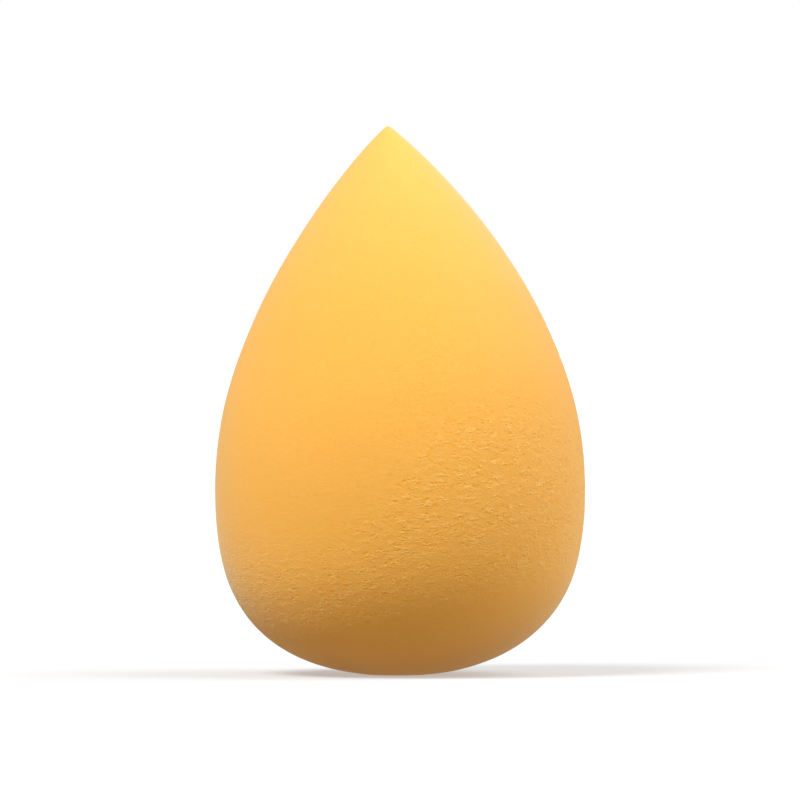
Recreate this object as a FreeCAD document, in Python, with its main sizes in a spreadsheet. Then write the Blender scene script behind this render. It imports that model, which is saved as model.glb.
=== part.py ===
"""A makeup sponge: one teardrop of moulded foam that stands on a small flat seat.

The body is a loft through level circles. Their radii follow two superellipses that meet at the belly,
the widest circle: a full, round heel below it and a long flank above it that runs out to the tip.
The tip leans to -X and the seat sits a little to -X, because soft foam doesn't stand quite true.

Millimetres, +Z up. The origin is on the seat's plane, straight below the middle of the belly.
"""

import FreeCAD, Part
import os

import Sketcher

SHEET = "sizes"
SPONGE = "sponge"

# Driving dimensions: alias, value in millimetres, what it measures
SIZES = (
    ("height", 60.0, "seat to tip"),
    ("belly_diameter", 40.4, "across the widest circle"),
    ("belly_height", 21.8, "seat to the widest circle"),
    ("seat_diameter", 6.0, "across the flat that the sponge stands on"),
    ("tip_diameter", 0.2, "across the blunt end of the tip"),
    ("tip_offset", 1.33, "middle of the tip from the belly's axis, towards -X"),
    ("seat_offset", 0.38, "middle of the seat from the belly's axis, towards -X"),
)

# Powers of the superellipses: across is for the radius, along is for the distance from the belly
HEEL_ACROSS_POWER = 2.24
HEEL_ALONG_POWER = 2.96
FLANK_ACROSS_POWER = 1.08
FLANK_ALONG_POWER = 1.81
# The midline keeps to the belly's axis at first and then curves away from it
LEAN_POWER = 3.0

# Where the circles lie, as shares of the way from the belly down to the seat and up to the tip
HEEL_SHARES = (0.0, 0.3, 0.55, 0.74, 0.87, 0.95, 0.985, 1.0)
FLANK_SHARES = (0.22, 0.42, 0.6, 0.76, 0.9, 1.0)

# How a sketch numbers the middle of a circle, and the point at its own origin
MIDDLE_INDEX = 3
ORIGIN_INDICES = (-1, 1)


def size(alias):
    """A driving dimension, as an expression names it."""
    return f"{SHEET}.{alias}"


def make_sheet(doc):
    """The spreadsheet of driving dimensions, one row for each."""
    sheet = doc.addObject("Spreadsheet::Sheet", SHEET)
    for row, (alias, value, note) in enumerate(SIZES, start=1):
        sheet.set(f"A{row}", alias)
        sheet.set(f"B{row}", str(value))
        sheet.set(f"C{row}", note)
        sheet.setAlias(f"B{row}", alias)
    doc.recompute()


def superellipse_radius(share, end_diameter, across_power, along_power):
    """Radius of the circle at a share of the way from the belly to an end of the given diameter."""
    belly = size("belly_diameter")
    end_share = f"({end_diameter} / {belly})"
    reach_share = f"(1 - {end_share} ^ {across_power}) ^ (1 / {along_power})"
    width_share = f"(1 - ({reach_share} * {share}) ^ {along_power}) ^ (1 / {across_power})"
    return f"{belly} / 2 * {width_share}"


def heel_circle(share):
    """Height, radius and midline of a circle between the belly and the seat, as expressions."""
    level = f"{size('belly_height')} * (1 - {share})"
    radius = superellipse_radius(share, size("seat_diameter"), HEEL_ACROSS_POWER, HEEL_ALONG_POWER)
    middle = f"-{size('seat_offset')} * {share} ^ {LEAN_POWER}"
    return level, radius, middle


def flank_circle(share):
    """Height, radius and midline of a circle between the belly and the tip, as expressions."""
    level = f"{size('belly_height')} + ({size('height')} - {size('belly_height')}) * {share}"
    radius = superellipse_radius(share, size("tip_diameter"), FLANK_ACROSS_POWER, FLANK_ALONG_POWER)
    middle = f"-{size('tip_offset')} * {share} ^ {LEAN_POWER}"
    return level, radius, middle


def origin_plane(body, role):
    """One of the body's own origin planes."""
    return next(feature for feature in body.Origin.OriginFeatures if feature.Role == role)


def add_circle_sketch(body, name, circle):
    """A level sketch that holds one circle, bound to the sheet in height, radius and midline."""
    level, radius, middle = circle
    sketch = body.newObject("Sketcher::SketchObject", name)
    sketch.AttachmentSupport = [(origin_plane(body, "XY_Plane"), "")]
    sketch.MapMode = "FlatFace"
    sketch.setExpression("AttachmentOffset.Base.x", middle)
    sketch.setExpression("AttachmentOffset.Base.z", level)

    unit_circle = Part.Circle(FreeCAD.Vector(0, 0, 0), FreeCAD.Vector(0, 0, 1), 1)
    ring = sketch.addGeometry(unit_circle, False)
    sketch.addConstraint(Sketcher.Constraint("Coincident", ring, MIDDLE_INDEX, *ORIGIN_INDICES))
    radius_constraint = sketch.addConstraint(Sketcher.Constraint("Radius", ring, 1))
    sketch.renameConstraint(radius_constraint, "radius")
    sketch.setExpression("Constraints.radius", radius)
    return sketch


def build_sponge(doc):
    """The sponge's body: one smooth loft from the seat, over the belly, to the tip."""
    body = doc.addObject("PartDesign::Body", SPONGE)
    body.Label = SPONGE
    circles = [heel_circle(share) for share in reversed(HEEL_SHARES)]
    circles += [flank_circle(share) for share in FLANK_SHARES]
    sketches = [add_circle_sketch(body, f"circle_{n}", circle) for n, circle in enumerate(circles)]
    doc.recompute()

    teardrop = body.newObject("PartDesign::AdditiveLoft", "teardrop")
    teardrop.Profile = sketches[0]
    teardrop.Sections = sketches[1:]
    doc.recompute()
    return body


def check(doc, bodies):
    """Stops the build if an object failed or a body isn't one sound solid."""
    for item in doc.Objects:
        if {"Invalid", "Error"} & set(item.State):
            raise RuntimeError(f"{item.Label} failed: {item.State}")
    for body in bodies:
        if body.Shape.isNull() or not body.Shape.isValid() or len(body.Shape.Solids) != 1:
            raise RuntimeError(f"{body.Label} isn't one valid solid")


def export(bodies):
    """One STEP file for each body, named by its label."""
    os.makedirs("parts", exist_ok=True)
    for body in bodies:
        body.Shape.exportStep(f"parts/{body.Label}.step")
        box = body.Shape.optimalBoundingBox(False)
        print(f"{body.Label}: {box.XLength:.2f} x {box.YLength:.2f} x {box.ZLength:.2f} mm")
        print(f"{body.Label}: {body.Shape.Volume:.0f} cubic mm")


def main():
    doc = FreeCAD.newDocument("makeup_sponge")
    make_sheet(doc)
    bodies = [build_sponge(doc)]
    check(doc, bodies)
    export(bodies)


main()
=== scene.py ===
"""Looks of the makeup sponge: soft, fine-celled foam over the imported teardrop, in plain studio light.

Metres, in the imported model's frame: +Z up, the seat on the floor, the photograph looking along +Y.
"""

import math

import bpy
import numpy as np
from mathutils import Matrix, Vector, noise


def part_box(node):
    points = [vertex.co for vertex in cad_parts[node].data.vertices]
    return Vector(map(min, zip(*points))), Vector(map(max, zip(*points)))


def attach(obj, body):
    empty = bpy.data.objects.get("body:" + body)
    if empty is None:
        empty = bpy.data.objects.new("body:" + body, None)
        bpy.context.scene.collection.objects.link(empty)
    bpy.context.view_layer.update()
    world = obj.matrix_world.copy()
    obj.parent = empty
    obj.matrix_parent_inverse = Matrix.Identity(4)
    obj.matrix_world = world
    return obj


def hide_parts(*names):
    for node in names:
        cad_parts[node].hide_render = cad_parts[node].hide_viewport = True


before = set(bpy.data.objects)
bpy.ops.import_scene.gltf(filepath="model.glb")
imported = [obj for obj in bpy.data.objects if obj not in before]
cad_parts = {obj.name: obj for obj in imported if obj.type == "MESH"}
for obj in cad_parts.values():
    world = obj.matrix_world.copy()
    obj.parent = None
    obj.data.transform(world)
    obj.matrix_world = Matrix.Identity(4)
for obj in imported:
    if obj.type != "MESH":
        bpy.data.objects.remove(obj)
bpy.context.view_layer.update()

MM = 0.001
SPONGE = "sponge"
FOAM_SPONGE = "foam_sponge"
ROUGHNESS = "roughness"

# Mesh of the foam: an even grid of quads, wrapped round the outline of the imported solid
GRID_COUNT = 128
LEVEL_COUNT = 1200
FAIRING_COUNT = 15
RAY_START = 100 * MM
SEAT_BLEND = 0.4 * MM

# Relief in the mesh: a slow swell that moulding leaves, and the crinkle of the skin
SWELL_WAVE = 11 * MM
SWELL_DEPTH = 0.04 * MM
SWELL_POWER = 1.0
SWELL_RATIO = 2.0
SWELL_OCTAVES = 2
CRINKLE_WAVE = 0.6 * MM
CRINKLE_DEPTH = 0.02 * MM
SKIN_STRETCH_SHARE = 0.5

# Rough band of the skin: tilted edges round the heel, the upper one wavy, and smooth skin beyond them
FOOT_WAY = (-0.27, 0.0, 1.0)
FOOT_EDGE = (4.8 * MM, 9 * MM)
TOP_WAY = (-0.5, 0.0, 1.0)
TOP_EDGE = (17 * MM, 26 * MM)
TOP_SWING = 4 * MM
TOP_WAVE = 30 * MM
TOP_SHIFT = 8 * MM
SMOOTH_SHARE = 0.25

# Trail of fainter roughness that runs up from the band near the middle, and small patches all over the band
TRAIL_MIDDLE = 3 * MM
TRAIL_REACH = 9 * MM
TRAIL_EDGE = (31 * MM, 42 * MM)
TRAIL_SHARE = 0.3
PATCH_WAVE = 0.55 * MM
PATCH_EDGE = (-0.35, 0.35)
PATCH_SHARES = (0.25, 1.6)

# Foam's colours in linear light: mottled all over; paler at the tip, a painted highlight; pale specks as
# painted glints over a deeper tone in the rough band, painted shade of its pores; paler where the relief
# stands out and deeper in its pits, painted highlight and shade
FOAM_DEEP = (0.785, 0.352, 0.039, 1)
FOAM_PALE = (0.815, 0.482, 0.121, 1)
PALE_SHARE = 0.26
MOTTLE_WAVE = 8 * MM
MOTTLE_DETAIL = 4
MOTTLE_SHARE = 0.11
# Painted highlight: the foam is made paler towards the tip, where the light falls strongest
TIP_HIGHLIGHT_START = 36 * MM
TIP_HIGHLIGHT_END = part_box(SPONGE)[1].z
TIP_HIGHLIGHT_SHARE = 0.25
# Painted highlight and shade: raised relief is made paler and the pits deeper
RELIEF_LIGHT_RISE = 0.08 * MM
# Painted glints and painted shade: pale specks, over a deeper tone across the rough band that paints the
# shade of its pores
SPECK_WAVE = 0.2 * MM
SPECK_DETAIL = 1
SPECK_EDGE_SHARES = (0.55, 0.75)
SPECK_GLINT_AND_SHADE_SHARES = (-0.09, 0.37)

# Foam's fine relief: creases, raised flecks, cells, pores and grain; stretched ones run level
CREASE_WAVE = 0.65 * MM
CREASE_DETAIL = 3
CREASE_STRETCH_SHARE = 0.35
CREASE_EDGE_SHARE = 0.06
CREASE_DEPTH = 0.008 * MM
FLECK_WAVE = 0.42 * MM
FLECK_DETAIL = 1
FLECK_STRETCH_SHARE = 0.45
FLECK_EDGE_SHARES = (0.52, 0.7)
FLECK_DEPTH = 0.015 * MM
CELL_WAVE = 0.7 * MM
CELL_STRETCH_SHARE = 0.55
CELL_EDGE_SHARES = (0.1, 0.45)
CELL_DEPTH = 0.0115 * MM
PORE_WAVE = 0.35 * MM
PORE_STRETCH_SHARE = 0.7
PORE_EDGE_SHARES = (0.05, 0.5)
PORE_CHANCE_SHARES = (0.4, 1.0)
PORE_DEPTH = 0.037 * MM
GRAIN_WAVE = 0.2 * MM
GRAIN_DETAIL = 2
GRAIN_DEPTH = 0.063 * MM
MEAN_HEIGHT = 0.041 * MM
HEIGHT_UNIT = 1.0

# Cloudy noise in the material: its middle value, and the strength of each finer layer next to the last one
NOISE_MIDDLE = 0.5
NOISE_LAYER_SHARE = 0.6

# Foam's finish: matt, with hardly any gloss, and a faint sheen at grazing angles
FOAM_FINISH = {
    "Roughness": 0.92,
    "Specular IOR Level": 0.08,
    "Sheen Weight": 0.25,
    "Sheen Roughness": 0.5,
    "Sheen Tint": (0.6, 0.95, 0.95, 1),
}

# Camera: a long lens, level with the middle of the sponge
CAMERA_DISTANCE = 1.2
CAMERA_ELEVATION = math.radians(0.5)
FRAME_ACROSS = 87.45 * MM
FRAME_MIDDLE = (-0.01 * MM, 0.0, 30.02 * MM)

# Lamps, large and far, with angles in degrees, and the sky: what it sends to the sponge, and as it is seen
LEFT_LAMP = {"azimuth": -45, "elevation": 50, "width": 30, "strength": 3.25}
RIGHT_LAMP = {"azimuth": 90, "elevation": 40, "width": 70, "strength": 2.65}
SKY_COLOUR = (1, 1, 1, 1)
SKY_STRENGTH = 0.46
SKY_SEEN_STRENGTH = 1.0

# Floor: white to the eye, while it sends up to the sponge a warm glow and little of the lamps' light
FLOOR_COLOUR = (0.38, 0.38, 0.38, 1)
FLOOR_GLOW = (0.4, 0.4, 0.4, 1)
BOUNCE_COLOUR = (0.07, 0.07, 0.07, 1)
BOUNCE_GLOW = (0.41, 0.32, 0.245, 1)
FLOOR_SIZE = 40.0

# How a mix node numbers its sockets for colours: the share, both colours and the result
MIX_INPUTS = (0, 6, 7)
MIX_OUTPUT = 2


def read_outline(node):
    """Radius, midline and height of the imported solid's level circles, from the seat up to the tip."""
    low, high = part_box(SPONGE)
    turn = np.linspace(0, math.pi, LEVEL_COUNT + 2)[1:-1]
    heights = low.z + (high.z - low.z) * (1 - np.cos(turn)) / 2
    edges = []
    for height in heights:
        left = node.ray_cast(Vector((-RAY_START, 0, height)), Vector((1, 0, 0)))[1]
        right = node.ray_cast(Vector((RAY_START, 0, height)), Vector((-1, 0, 0)))[1]
        edges.append((left.x, right.x))
    left, right = np.array(edges).T
    return (right - left) / 2, (right + left) / 2, heights


def faired(values):
    """The values averaged with their neighbours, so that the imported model's facets don't print through."""
    half = FAIRING_COUNT // 2
    extended = np.concatenate([values[:half][::-1], values, values[-half:][::-1]])
    return np.convolve(extended, np.full(FAIRING_COUNT, 1 / FAIRING_COUNT), "valid")


def close_ends(radii, middles, heights):
    """The outline with the middle of the seat added before it and the middle of the tip after it."""
    low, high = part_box(SPONGE)
    radii = np.concatenate([[0, radii[0]], radii, [0]])
    middles = np.concatenate([[middles[0], middles[0]], middles, [middles[-1]]])
    heights = np.concatenate([[low.z, low.z], heights, [high.z]])
    return radii, middles, heights


def cube_grid():
    """Points over a cube's skin as directions from its middle, and the quads that join them."""
    steps = np.arange(GRID_COUNT + 1)
    u, v = np.meshgrid(steps, steps, indexing="ij")
    corners = []
    for axis in range(3):
        for side in (0, GRID_COUNT):
            face = np.empty((GRID_COUNT + 1, GRID_COUNT + 1, 3), int)
            face[..., axis] = side
            face[..., (axis + 1) % 3] = u if side else v
            face[..., (axis + 2) % 3] = v if side else u
            corners.append(np.stack([face[:-1, :-1], face[1:, :-1], face[1:, 1:], face[:-1, 1:]], axis=2))
    lattice = np.concatenate([corner.reshape(-1, 3) for corner in corners])
    points, indices = np.unique(lattice, axis=0, return_inverse=True)
    spread = np.tan((points / GRID_COUNT - 1 / 2) * math.pi / 2)
    directions = spread / np.linalg.norm(spread, axis=1, keepdims=True)
    return directions, indices.reshape(-1, 4)


def wrap(directions, outline):
    """The directions laid on the outline's surface, so that equal parts of a ball stay equal parts of it."""
    radii, middles, heights = outline
    steps = np.hypot(np.diff(radii), np.diff(heights))
    areas = np.concatenate([[0], np.cumsum(steps * (radii[1:] + radii[:-1]))])
    below = (1 + directions[:, 2]) / 2 * areas[-1]
    radius = np.interp(below, areas, radii)
    turn = np.arctan2(directions[:, 1], directions[:, 0])
    x = np.interp(below, areas, middles) + radius * np.cos(turn)
    return np.stack([x, radius * np.sin(turn), np.interp(below, areas, heights)], axis=1)


def smooth_step(value, low, high):
    """0 up to low and 1 from high, with a smooth step between."""
    share = min(max((value - low) / (high - low), 0), 1)
    return share * share * (3 - 2 * share)


def drawn_out(place):
    """The place with its level directions shortened, which draws a pattern out level."""
    return Vector((place.x * SKIN_STRETCH_SHARE, place.y * SKIN_STRETCH_SHARE, place.z))


def roughness(place):
    """Share of the full relief at a place: about 1 in the rough band, and less where the skin is smooth."""
    swing = TOP_SWING * math.cos((place.x + TOP_SHIFT) * 2 * math.pi / TOP_WAVE)
    above_foot = smooth_step(Vector(FOOT_WAY).dot(place), *FOOT_EDGE)
    above_top = smooth_step(Vector(TOP_WAY).dot(place) + swing, *TOP_EDGE)
    beside_trail = smooth_step(abs(place.x - TRAIL_MIDDLE), 0, TRAIL_REACH)
    above_trail = smooth_step(place.z, *TRAIL_EDGE)
    trail = TRAIL_SHARE * (1 - beside_trail) * (1 - above_trail)
    band = above_foot * max(1 - above_top, trail)
    worn = smooth_step(noise.noise(drawn_out(place) / PATCH_WAVE), *PATCH_EDGE)
    least, most = PATCH_SHARES
    return SMOOTH_SHARE + (1 - SMOOTH_SHARE) * band * (least + (most - least) * worn)


def relief(place, share):
    """How far the foam stands out at a place of this roughness: a slow swell and a short crinkle."""
    swell = noise.fractal(place / SWELL_WAVE, SWELL_POWER, SWELL_RATIO, SWELL_OCTAVES)
    crinkle = noise.noise(drawn_out(place) / CRINKLE_WAVE)
    return SWELL_DEPTH * swell + CRINKLE_DEPTH * crinkle * share


def make_sponge():
    """The foam as one closed mesh with a flat seat, which also holds the roughness of each of its points."""
    radii, middles, heights = read_outline(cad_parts[SPONGE])
    outline = close_ends(faired(radii), faired(middles), heights)
    directions, quads = cube_grid()
    places = wrap(directions, outline)
    mesh = bpy.data.meshes.new(FOAM_SPONGE)
    mesh.from_pydata(places.tolist(), [], quads.tolist())
    mesh.update()

    normals = np.array([normal.vector for normal in mesh.vertex_normals])
    seat_level = places[:, 2].min()
    off_seat = np.clip((places[:, 2] - seat_level) / SEAT_BLEND, 0, 1)
    spots = [Vector(place) for place in places]
    shares = [roughness(spot) for spot in spots]
    depths = np.array([relief(spot, share) for spot, share in zip(spots, shares)])
    places = places + normals * (depths * off_seat)[:, None]
    mesh.vertices.foreach_set("co", places.astype(np.float32).ravel())
    mesh.attributes.new(ROUGHNESS, "FLOAT", "POINT").data.foreach_set("value", shares)
    mesh.shade_smooth()
    mesh.update()
    piece = bpy.data.objects.new(FOAM_SPONGE, mesh)
    bpy.context.scene.collection.objects.link(piece)
    return piece


class Nodes:
    """A short way to add linked nodes to one node tree."""

    def __init__(self, tree):
        self.tree = tree
        tree.nodes.clear()

    def add(self, kind, inputs, **settings):
        """A node with its settings, and its inputs set to values or linked to other nodes' outputs."""
        node = self.tree.nodes.new(kind)
        for name, value in settings.items():
            setattr(node, name, value)
        for name, value in inputs.items():
            if isinstance(value, bpy.types.NodeSocket):
                self.tree.links.new(value, node.inputs[name])
            else:
                node.inputs[name].default_value = value
        return node

    def math(self, operation, *values):
        """The output of one operation on one or two values."""
        return self.add("ShaderNodeMath", dict(enumerate(values)), operation=operation).outputs[0]

    def noise(self, place, wave, detail):
        """Cloudy noise from 0 to 1, with features about one wave across."""
        inputs = {"Vector": place, "Scale": 1 / wave, "Detail": detail, "Roughness": NOISE_LAYER_SHARE}
        return self.add("ShaderNodeTexNoise", inputs).outputs["Fac"]

    def cells(self, place, wave):
        """Random cells about one wave across, as a node."""
        return self.add("ShaderNodeTexVoronoi", {"Vector": place, "Scale": 1 / wave})

    def ramp(self, value, low, high, first=0.0, last=1.0):
        """The first value up to low and the last one from high, with a smooth step between."""
        inputs = {"Value": value, "From Min": low, "From Max": high, "To Min": first, "To Max": last}
        return self.add("ShaderNodeMapRange", inputs, interpolation_type="SMOOTHSTEP").outputs[0]

    def between(self, share, first, last):
        """The value at a share of the way from the first value to the last."""
        return self.add("ShaderNodeMapRange", {"Value": share, "To Min": first, "To Max": last}).outputs[0]

    def mixed(self, share, first, last):
        """The colour at a share of the way from the first colour to the last."""
        inputs = dict(zip(MIX_INPUTS, (share, first, last)))
        return self.add("ShaderNodeMix", inputs, data_type="RGBA").outputs[MIX_OUTPUT]

    def stretched(self, place, share):
        """The place with its level directions shortened to a share, which draws a pattern out level."""
        return self.add("ShaderNodeMapping", {"Vector": place, "Scale": (share, share, 1)}).outputs[0]


def crease_height(nodes, place):
    """Fine level creases: thin grooves where a cloudy noise crosses its middle value."""
    fold = nodes.noise(nodes.stretched(place, CREASE_STRETCH_SHARE), CREASE_WAVE, CREASE_DETAIL)
    from_line = nodes.math("ABSOLUTE", nodes.math("SUBTRACT", fold, NOISE_MIDDLE))
    return nodes.ramp(from_line, 0.0, CREASE_EDGE_SHARE, 0.0, CREASE_DEPTH)


def fleck_height(nodes, place):
    """Small raised flecks, at the peaks of a cloudy noise."""
    cloud = nodes.noise(nodes.stretched(place, FLECK_STRETCH_SHARE), FLECK_WAVE, FLECK_DETAIL)
    return nodes.ramp(cloud, *FLECK_EDGE_SHARES, 0.0, FLECK_DEPTH)


def cell_height(nodes, place):
    """The cells of the foam, each sunk at its middle."""
    cells = nodes.cells(nodes.stretched(place, CELL_STRETCH_SHARE), CELL_WAVE)
    return nodes.ramp(cells.outputs["Distance"], *CELL_EDGE_SHARES, 0.0, CELL_DEPTH)


def pore_height(nodes, place):
    """Open pores, of depths that differ and in some of the small cells only."""
    cells = nodes.cells(nodes.stretched(place, PORE_STRETCH_SHARE), PORE_WAVE)
    bowl = nodes.ramp(cells.outputs["Distance"], *PORE_EDGE_SHARES, -PORE_DEPTH, 0.0)
    chance = nodes.add("ShaderNodeSeparateColor", {0: cells.outputs["Color"]}).outputs[0]
    return nodes.math("MULTIPLY", bowl, nodes.ramp(chance, *PORE_CHANCE_SHARES))


def foam_height(nodes, place, share):
    """Height of the fine relief in metres, about zero on average."""
    height = nodes.math("MULTIPLY", nodes.noise(place, GRAIN_WAVE, GRAIN_DETAIL), GRAIN_DEPTH)
    for layer in (crease_height, fleck_height, cell_height, pore_height):
        height = nodes.math("ADD", height, layer(nodes, place))
    return nodes.math("MULTIPLY", nodes.math("SUBTRACT", height, MEAN_HEIGHT), share)


def foam_colour(nodes, place, height, share):
    """Mottled colour; paler towards the tip as a painted highlight; pale specks as painted glints, over a
    deeper tone in the rough band that is painted shade of its pores; paler where the relief stands out and
    deeper in its pits, as painted highlight and shade.
    """
    rise = nodes.add("ShaderNodeSeparateXYZ", {0: place}).outputs["Z"]
    # Painted highlight: paler towards the tip
    tip = nodes.ramp(rise, TIP_HIGHLIGHT_START, TIP_HIGHLIGHT_END, PALE_SHARE, PALE_SHARE + TIP_HIGHLIGHT_SHARE)
    mottle = nodes.math("MULTIPLY", nodes.noise(place, MOTTLE_WAVE, MOTTLE_DETAIL), MOTTLE_SHARE)
    # Painted glints in pale specks, and painted shade of the pores as a deeper tone over the rough band
    cloud = nodes.noise(place, SPECK_WAVE, SPECK_DETAIL)
    speck_glint_and_shade = nodes.math("MULTIPLY", nodes.ramp(cloud, *SPECK_EDGE_SHARES, *SPECK_GLINT_AND_SHADE_SHARES), share)
    # Painted highlight and shade: paler where the relief stands out, deeper in its pits
    relief_light_and_shade = nodes.math("DIVIDE", height, RELIEF_LIGHT_RISE)
    tone = nodes.math("ADD", nodes.math("ADD", nodes.math("ADD", tip, mottle), speck_glint_and_shade), relief_light_and_shade)
    return nodes.mixed(tone, FOAM_DEEP, FOAM_PALE)


def make_foam_material():
    """Matt foam: mottled colour, fine relief all over, and a sheen at grazing angles."""
    material = bpy.data.materials.new("foam")
    material.use_nodes = True
    material.cycles.use_bump_map_correction = False
    nodes = Nodes(material.node_tree)
    place = nodes.add("ShaderNodeTexCoord", {}).outputs["Object"]
    share = nodes.add("ShaderNodeAttribute", {}, attribute_name=ROUGHNESS).outputs["Fac"]
    height = foam_height(nodes, place, share)
    colour = foam_colour(nodes, place, height, share)
    bump = nodes.add("ShaderNodeBump", {"Height": height, "Strength": 1.0, "Distance": HEIGHT_UNIT})
    inputs = {"Base Color": colour, "Normal": bump.outputs[0], **FOAM_FINISH}
    surface = nodes.add("ShaderNodeBsdfPrincipled", inputs)
    nodes.add("ShaderNodeOutputMaterial", {"Surface": surface.outputs[0]})
    return material


def seen_directly(nodes):
    """1 where the viewer sees a thing directly or mirrored, 0 where it only lights other things."""
    path = nodes.add("ShaderNodeLightPath", {})
    mirrored = nodes.math("MAXIMUM", path.outputs["Is Glossy Ray"], path.outputs["Is Transmission Ray"])
    return nodes.math("MAXIMUM", path.outputs["Is Camera Ray"], mirrored)


def make_floor_material():
    """A matt floor that glows a little, as a light table does."""
    material = bpy.data.materials.new("floor")
    material.use_nodes = True
    nodes = Nodes(material.node_tree)
    seen = seen_directly(nodes)
    matt = nodes.add("ShaderNodeBsdfDiffuse", {"Color": nodes.mixed(seen, BOUNCE_COLOUR, FLOOR_COLOUR)})
    glow = nodes.add("ShaderNodeEmission", {"Color": nodes.mixed(seen, BOUNCE_GLOW, FLOOR_GLOW)})
    surface = nodes.add("ShaderNodeAddShader", {0: matt.outputs[0], 1: glow.outputs[0]})
    nodes.add("ShaderNodeOutputMaterial", {"Surface": surface.outputs[0]})
    return material


def make_floor():
    """A wide pale floor, which keeps the sponge's shadow."""
    half = FLOOR_SIZE / 2
    corners = [(-half, -half, 0), (half, -half, 0), (half, half, 0), (-half, half, 0)]
    mesh = bpy.data.meshes.new("floor")
    mesh.from_pydata(corners, [], [(0, 1, 2, 3)])
    mesh.materials.append(make_floor_material())
    floor = bpy.data.objects.new("floor", mesh)
    bpy.context.scene.collection.objects.link(floor)


def make_sky():
    """The world: white to the eye, and an even, dimmer light on the sponge."""
    world = bpy.data.worlds.new("studio")
    world.use_nodes = True
    nodes = Nodes(world.node_tree)
    strength = nodes.between(seen_directly(nodes), SKY_STRENGTH, SKY_SEEN_STRENGTH)
    sky = nodes.add("ShaderNodeBackground", {"Color": SKY_COLOUR, "Strength": strength})
    nodes.add("ShaderNodeOutputWorld", {"Surface": sky.outputs[0]})
    bpy.context.scene.world = world


def direction(azimuth, elevation):
    """Unit vector towards a place at these angles; azimuth 0 is the camera's side, and right is positive."""
    level = math.cos(elevation)
    return Vector((level * math.sin(azimuth), -level * math.cos(azimuth), math.sin(elevation)))


def make_lamp(name, azimuth, elevation, width, strength):
    """A large, far lamp; its angles are in degrees."""
    lamp = bpy.data.lights.new(name, "SUN")
    lamp.energy = strength
    lamp.angle = math.radians(width)
    holder = bpy.data.objects.new(name, lamp)
    towards = direction(math.radians(azimuth), math.radians(elevation))
    holder.rotation_euler = towards.to_track_quat("Z", "Y").to_euler()
    bpy.context.scene.collection.objects.link(holder)


def make_camera():
    """The photograph's view, on a long lens."""
    camera = bpy.data.cameras.new("camera")
    camera.lens = camera.sensor_width * CAMERA_DISTANCE / FRAME_ACROSS
    holder = bpy.data.objects.new("camera", camera)
    towards = direction(0, CAMERA_ELEVATION)
    holder.location = Vector(FRAME_MIDDLE) + towards * CAMERA_DISTANCE
    holder.rotation_euler = towards.to_track_quat("Z", "Y").to_euler()
    bpy.context.scene.collection.objects.link(holder)
    bpy.context.scene.camera = holder


make_camera()
sponge = make_sponge()
sponge.data.materials.append(make_foam_material())
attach(sponge, "root")
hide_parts(SPONGE)

make_floor()
make_sky()
make_lamp("left_lamp", **LEFT_LAMP)
make_lamp("right_lamp", **RIGHT_LAMP)
bpy.context.scene.view_settings.view_transform = "Standard"
